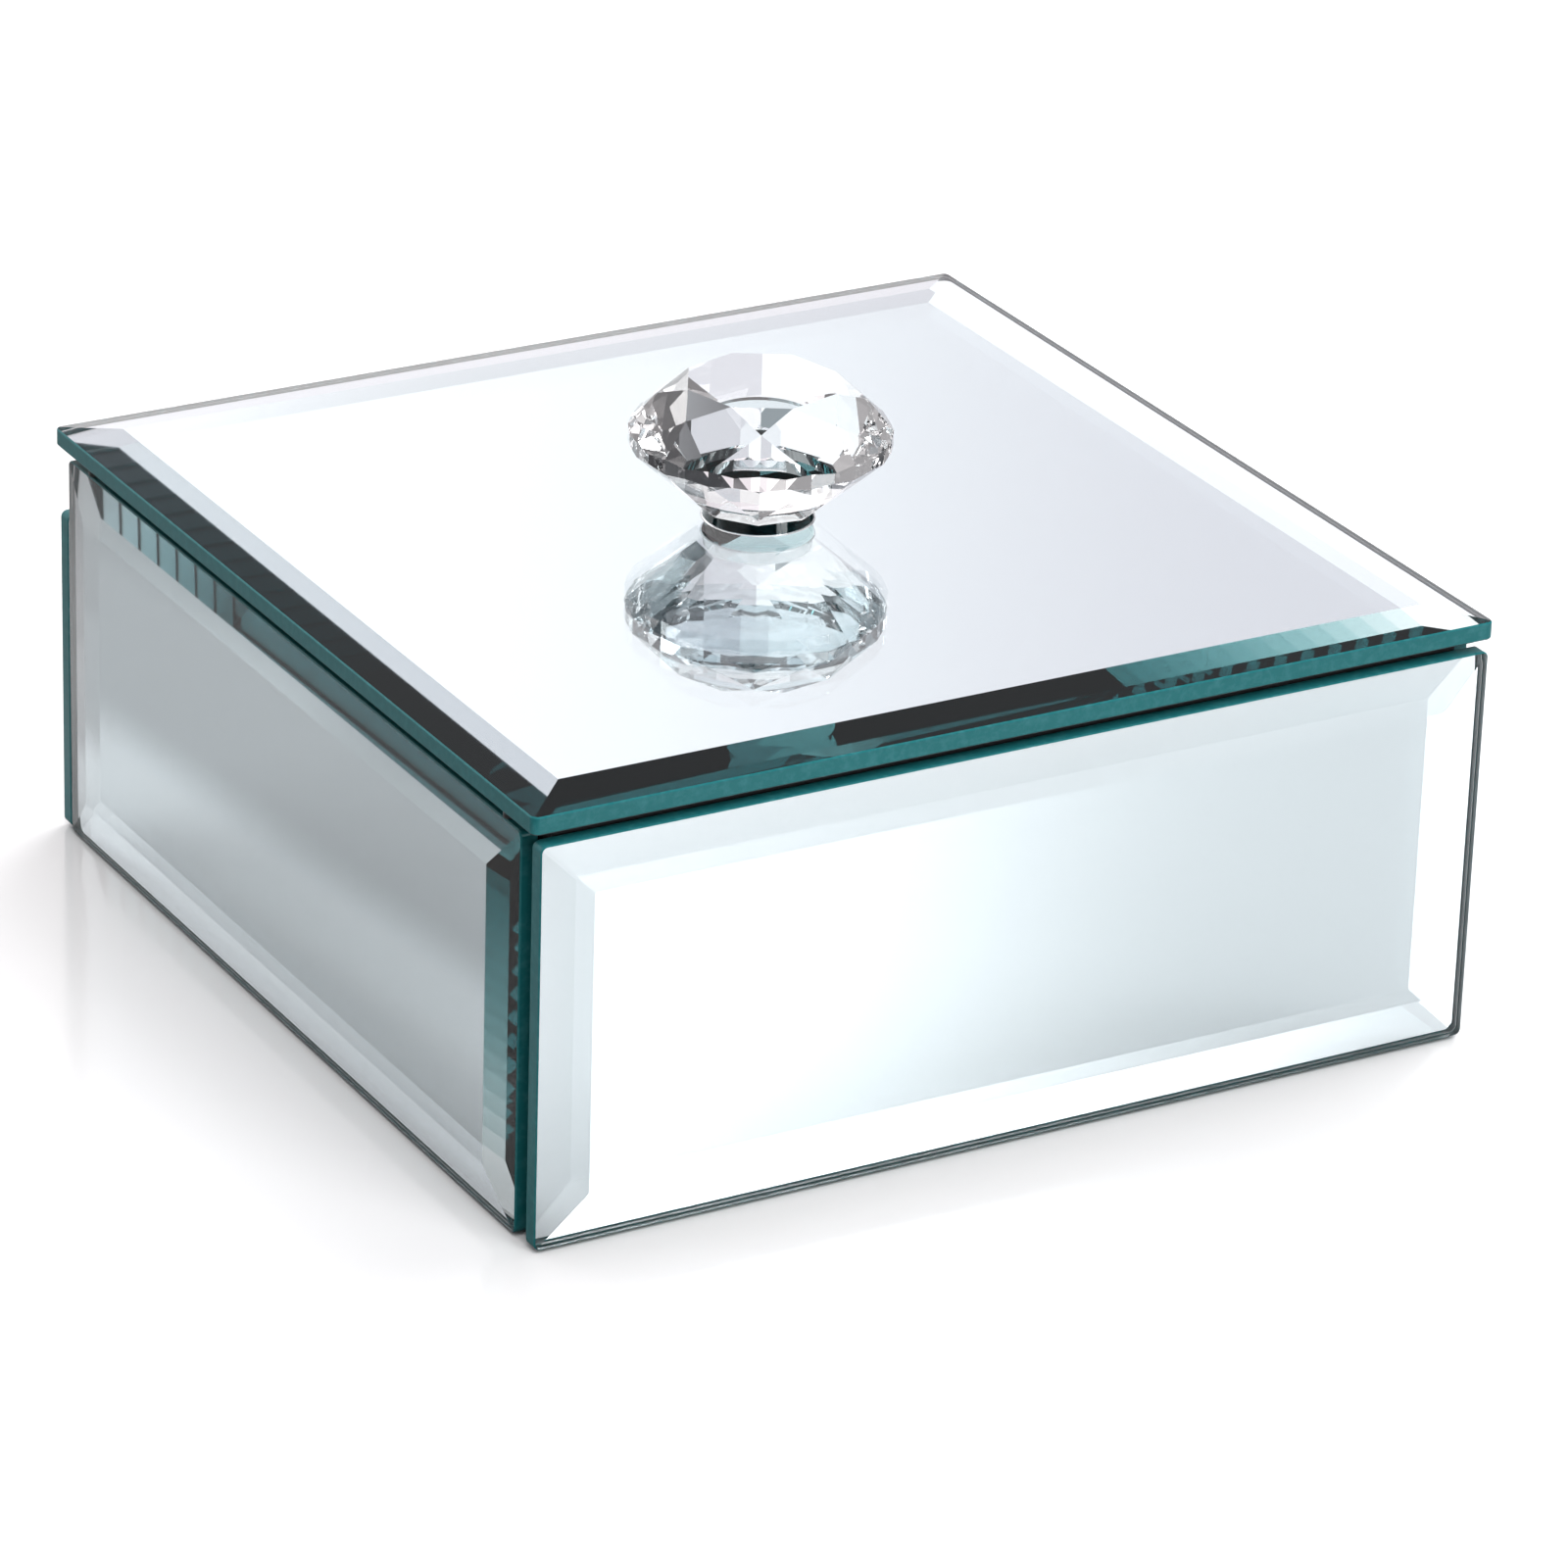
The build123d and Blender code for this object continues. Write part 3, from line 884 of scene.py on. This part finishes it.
def makeFloor():
    bm = bmesh.new()
    bmesh.ops.create_grid(bm, x_segments=1, y_segments=1, size=studio["floorSize"] / 2)
    material, tree, shader = newMaterial("floor")
    shader.inputs["Roughness"].default_value = studio["floorGloss"]
    place = addNode(tree, "ShaderNodeTexCoord")
    split = addNode(tree, "ShaderNodeSeparateXYZ")
    tree.links.new(place.outputs["Object"], split.inputs[0])
    stops = studio["mirroredFloorShade"]
    start, end = stops[0][0], stops[-1][0]
    along = addNode(tree, "ShaderNodeMapRange")
    along.inputs["From Min"].default_value = start
    along.inputs["From Max"].default_value = end
    slanted = addNode(tree, "ShaderNodeMath", operation="MULTIPLY_ADD")
    slanted.inputs[1].default_value = studio["mirroredSlant"]
    tree.links.new(split.outputs["Y"], slanted.inputs[0])
    tree.links.new(split.outputs["X"], slanted.inputs[2])
    tree.links.new(slanted.outputs[0], along.inputs["Value"])
    # a ramp of painted shade across the floor, slanted a little along y
    ramp = addNode(tree, "ShaderNodeValToRGB")
    ramp.color_ramp.interpolation = "EASE"
    while len(ramp.color_ramp.elements) < len(stops):
        ramp.color_ramp.elements.new(0.5)
    for element, (at, share) in zip(ramp.color_ramp.elements, stops):
        element.position = (at - start) / (end - start)
        element.color = [share * tone for tone in studio["floorTone"][:3]] + [1]
    tree.links.new(along.outputs["Result"], ramp.inputs["Fac"])
    # the camera sees the even floor tone; every other ray sees the painted shade of the ramp
    path = addNode(tree, "ShaderNodeLightPath")
    tone = addNode(tree, "ShaderNodeMix", data_type="RGBA")
    tree.links.new(path.outputs["Is Camera Ray"], tone.inputs["Factor"])
    tree.links.new(ramp.outputs["Color"], tone.inputs["A"])
    tone.inputs["B"].default_value = studio["floorTone"]
    tree.links.new(tone.outputs["Result"], shader.inputs["Base Color"])
    floor = addObject("floor", bm, [material])


def smoothRange(tree, source, start, end):
    node = addNode(tree, "ShaderNodeMapRange", interpolation_type="SMOOTHSTEP")
    node.inputs["From Min"].default_value = start
    node.inputs["From Max"].default_value = end
    tree.links.new(source, node.inputs["Value"])
    return node.outputs["Result"]


def joinMath(tree, operation, *sources):
    node = addNode(tree, "ShaderNodeMath", operation=operation)
    for index, source in enumerate(sources):
        if isinstance(source, (int, float)):
            node.inputs[index].default_value = source
        else:
            tree.links.new(source, node.inputs[index])
    return node.outputs[0]


def softBand(tree, source, start, full, fade, gone):
    rise = smoothRange(tree, source, start, full)
    fall = smoothRange(tree, source, fade, gone)
    return joinMath(tree, "SUBTRACT", rise, fall)


def tintWith(tree, before, mask, tone):
    mix = addNode(tree, "ShaderNodeMix", data_type="RGBA")
    tree.links.new(mask, mix.inputs["Factor"])
    if isinstance(before, tuple):
        mix.inputs["A"].default_value = before
    else:
        tree.links.new(before, mix.inputs["A"])
    mix.inputs["B"].default_value = tone
    return mix.outputs["Result"]


def makeWorld():
    world = bpy.data.worlds.new("studio")
    scene.world = world
    world.use_nodes = True
    tree = world.node_tree
    background = tree.nodes["Background"]
    place = addNode(tree, "ShaderNodeTexCoord")
    split = addNode(tree, "ShaderNodeSeparateXYZ")
    tree.links.new(place.outputs["Generated"], split.inputs[0])
    height = joinMath(tree, "DEGREES", joinMath(tree, "ARCSINE", split.outputs["Z"]))
    heading = joinMath(tree, "DEGREES", joinMath(tree, "ARCTAN2", split.outputs["X"], split.outputs["Y"]))
    turnAway = joinMath(tree, "ABSOLUTE", heading)
    panel = softBand(tree, heading, *studio["panelHeading"])
    beams = [
        joinMath(tree, "MULTIPLY", softBand(tree, heading, *headings), softBand(tree, height, *heights))
        for headings, heights in studio["beams"]
    ]
    beam = joinMath(tree, "MAXIMUM", *beams)
    room = smoothRange(tree, turnAway, *studio["roomHeading"])
    roomTop = smoothRange(tree, height, *studio["roomHeight"])
    room = joinMath(tree, "MULTIPLY", room, joinMath(tree, "SUBTRACT", 1.0, roomTop))
    shade = smoothRange(tree, turnAway, *studio["shadeHeading"])
    frontBox = softBand(tree, heading, *studio["frontBoxHeading"])
    frontBox = joinMath(tree, "MULTIPLY", frontBox, softBand(tree, height, *studio["frontBoxHeight"]))
    topBox = softBand(tree, height, *studio["topBoxHeight"])
    flags = [softBand(tree, heading, *stops) for stops in studio["flagHeadings"]]
    flagAcross = softBand(tree, height, *studio["flagHeight"])
    flags = joinMath(tree, "MULTIPLY", joinMath(tree, "ADD", *flags), flagAcross)
    sky = tintWith(tree, studio["wallTone"], panel, studio["panelTone"])
    sky = tintWith(tree, sky, beam, studio["beamTone"])
    sky = tintWith(tree, sky, shade, studio["shadeTone"])
    sky = tintWith(tree, sky, room, studio["roomTone"])
    sky = tintWith(tree, sky, flags, studio["flagTone"])
    sky = tintWith(tree, sky, frontBox, studio["frontBoxTone"])
    sky = tintWith(tree, sky, topBox, studio["topBoxTone"])
    tree.links.new(sky, background.inputs["Color"])
    path = addNode(tree, "ShaderNodeLightPath")
    power = addNode(tree, "ShaderNodeMapRange")
    power.inputs["To Min"].default_value = studio["skyPower"]
    power.inputs["To Max"].default_value = studio["skyPower"] * studio["skyOnFloor"]
    tree.links.new(path.outputs["Is Diffuse Ray"], power.inputs["Value"])
    tree.links.new(power.outputs["Result"], background.inputs["Strength"])


def makeLight(name):
    look = studio[name]
    data = bpy.data.lights.new(name, "AREA")
    data.shape = "SQUARE"
    data.size = look["size"]
    data.energy = look["power"]
    lamp = bpy.data.objects.new(name, data)
    lamp.location = look["place"]
    aim = Vector(studio["lampAim"]) - Vector(look["place"])
    lamp.rotation_euler = aim.to_track_quat("-Z", "Y").to_euler()
    lamp.visible_glossy = False
    lamp.visible_transmission = False
    scene.collection.objects.link(lamp)


makeFloor()
makeWorld()
makeLight("key")
makeLight("fill")
scene.view_settings.view_transform = "Standard"
scene.cycles.max_bounces = 48
scene.cycles.glossy_bounces = 32
scene.cycles.transmission_bounces = 48
print("studio lit")
